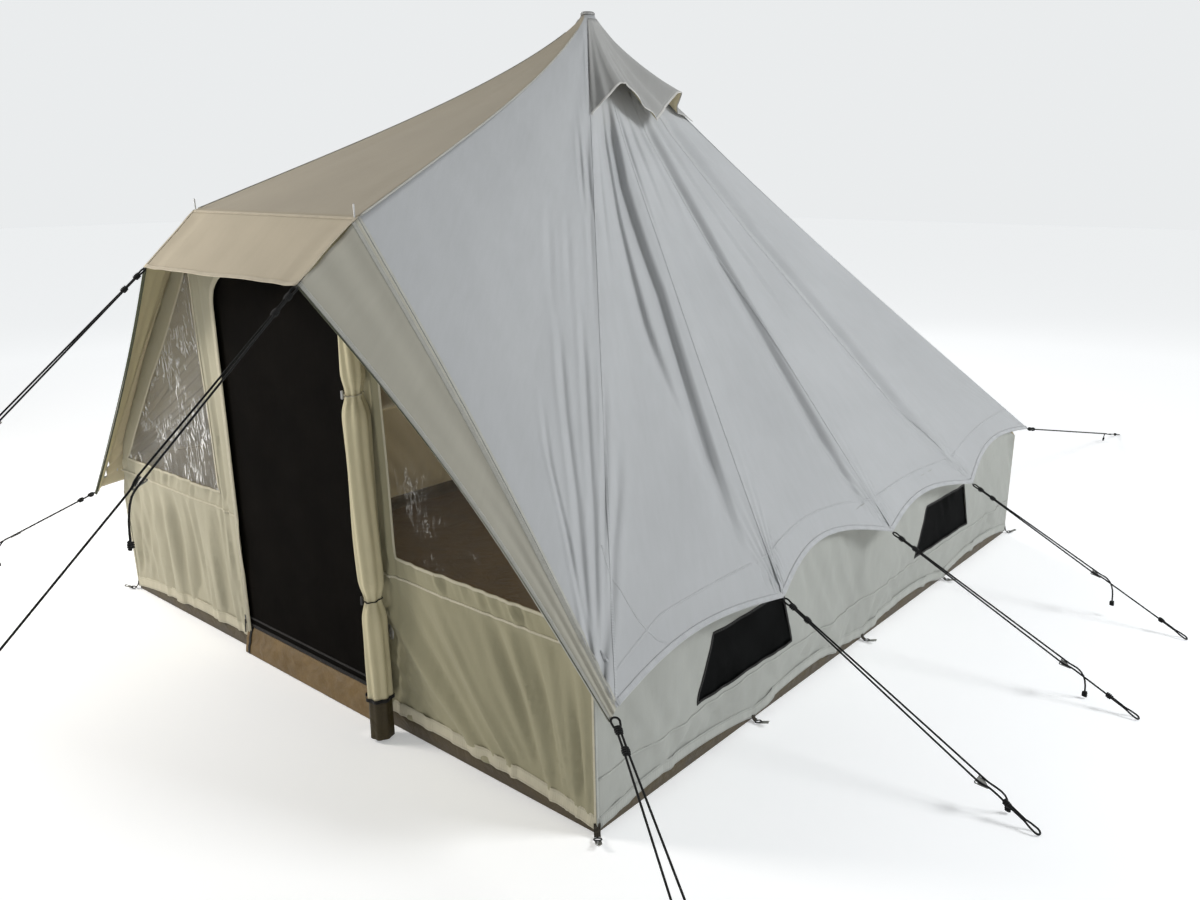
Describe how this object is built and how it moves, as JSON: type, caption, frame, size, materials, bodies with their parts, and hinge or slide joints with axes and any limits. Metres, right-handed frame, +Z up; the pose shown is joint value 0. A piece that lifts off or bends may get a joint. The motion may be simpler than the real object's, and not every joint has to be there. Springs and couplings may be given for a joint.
{
  "type": "tipi tent",
  "caption": "Tipi tent with a centre pole, low side walls, a front wall under a visor, mesh door, rolled outer door, clear windows, vent hood and storm guys with runners.",
  "frame": {"origin": "middle of the floor, on the ground under the groundsheet", "axes": "+Z up, -Y out through the door, +X to the right seen by someone facing the door from outside"},
  "size_m": [5.2538, 8.9586, 2.7978],
  "materials": {
    "side_canvas": "matt woven polyester, pale blue-grey",
    "front_canvas": "matt woven polyester, warm beige",
    "wall_canvas": "matt woven polyester, greenish grey",
    "panel_canvas": "matt woven polyester, olive beige",
    "floor_vinyl": "brown coated floor sheet with a faint weave",
    "black_mesh": "fine black insect mesh",
    "clear_film": "soft clear film with wrinkles",
    "steel": "dull galvanised",
    "black_plastic": "moulded, slightly worn",
    "black_cord": "braided, matt"
  },
  "bodies": {
    "tent": {"apex_cap": "black_plastic", "back_wall": "wall_canvas", "centre_pole_foot": "black_plastic", "centre_pole_lower": "steel", "centre_pole_upper": "steel", "door_roll": "panel_canvas", "door_roll_end": "floor_vinyl", "door_sill": "floor_vinyl", "door_zip": "black_mesh", "front_pole_foot_left": "black_plastic", "front_pole_foot_right": "black_plastic", "front_pole_lower_left": "steel", "front_pole_lower_right": "steel", "front_pole_upper_left": "steel", "front_pole_upper_right": "steel", "front_wall_left": "panel_canvas", "front_wall_right": "panel_canvas", "groundsheet": "floor_vinyl", "guy_corner_left": "black_cord", "guy_corner_right": "black_cord", "guy_eave_1": "black_cord", "guy_eave_2": "black_cord", "guy_eave_3": "black_cord", "guy_rear_right": "black_cord", "guy_visor_left": "black_cord", "guy_visor_right": "black_cord", "roll_tie_lower": "black_mesh", "roll_tie_upper": "black_mesh", "roll_toggle_lower": "black_plastic", "roll_toggle_upper": "black_plastic", "roof_back": "side_canvas", "roof_front": "front_canvas", "roof_left": "side_canvas", "roof_right": "side_canvas", "side_wall_left": "wall_canvas", "side_wall_right": "wall_canvas", "strip_left": "front_canvas", "strip_right": "front_canvas", "vent_hood": "side_canvas", "vent_left_front": "black_mesh", "vent_left_rear": "black_mesh", "vent_right_front": "black_mesh", "vent_right_rear": "black_mesh", "visor": "front_canvas", "window_left": "clear_film", "window_right": "clear_film"},
    "door": {"mesh_door": "black_mesh"},
    "slider": {"zip_slider": "black_plastic"},
    "runner_corner_left": {"runner_corner_left": "steel"},
    "runner_corner_right": {"runner_corner_right": "steel"},
    "runner_eave_1": {"runner_eave_1": "steel"},
    "runner_eave_2": {"runner_eave_2": "steel"},
    "runner_eave_3": {"runner_eave_3": "steel"},
    "runner_rear_right": {"runner_rear_right": "steel"},
    "runner_visor_left": {"runner_visor_left": "steel"},
    "runner_visor_right": {"runner_visor_right": "steel"}
  },
  "joints": [
    {"name": "door_swing", "type": "hinge", "parent": "tent", "child": "door", "pos_m": [0.4896, -1.86072, 0.124], "axis": [0, 0.03, -0.9996], "range_deg": [0, 85]},
    {"name": "zip_slide", "type": "slide", "parent": "tent", "child": "slider", "axis": [0, -0.03, 0.9996], "range_m": [0, 1.33]},
    {"name": "corner_left_slide", "type": "slide", "parent": "tent", "child": "runner_corner_left", "axis": [-0.7636, -0.4548, -0.4584], "range_m": [-0.25, 0.05]},
    {"name": "corner_right_slide", "type": "slide", "parent": "tent", "child": "runner_corner_right", "axis": [0.7636, -0.4548, -0.4584], "range_m": [-0.25, 0.05]},
    {"name": "eave_1_slide", "type": "slide", "parent": "tent", "child": "runner_eave_1", "axis": [0.8731, 0, -0.4875], "range_m": [-0.25, 0.05]},
    {"name": "eave_2_slide", "type": "slide", "parent": "tent", "child": "runner_eave_2", "axis": [0.8842, 0.051, -0.4643], "range_m": [-0.25, 0.05]},
    {"name": "eave_3_slide", "type": "slide", "parent": "tent", "child": "runner_eave_3", "axis": [0.883, 0.0343, -0.4682], "range_m": [-0.25, 0.05]},
    {"name": "rear_right_slide", "type": "slide", "parent": "tent", "child": "runner_rear_right", "axis": [-0.0392, 0.9766, -0.2114], "range_m": [-0.25, 0.03]},
    {"name": "visor_left_slide", "type": "slide", "parent": "tent", "child": "runner_visor_left", "axis": [-0.0383, -0.7601, -0.6487], "range_m": [-0.25, 0.05]},
    {"name": "visor_right_slide", "type": "slide", "parent": "tent", "child": "runner_visor_right", "axis": [0.0383, -0.7601, -0.6487], "range_m": [-0.25, 0.05]}
  ]
}
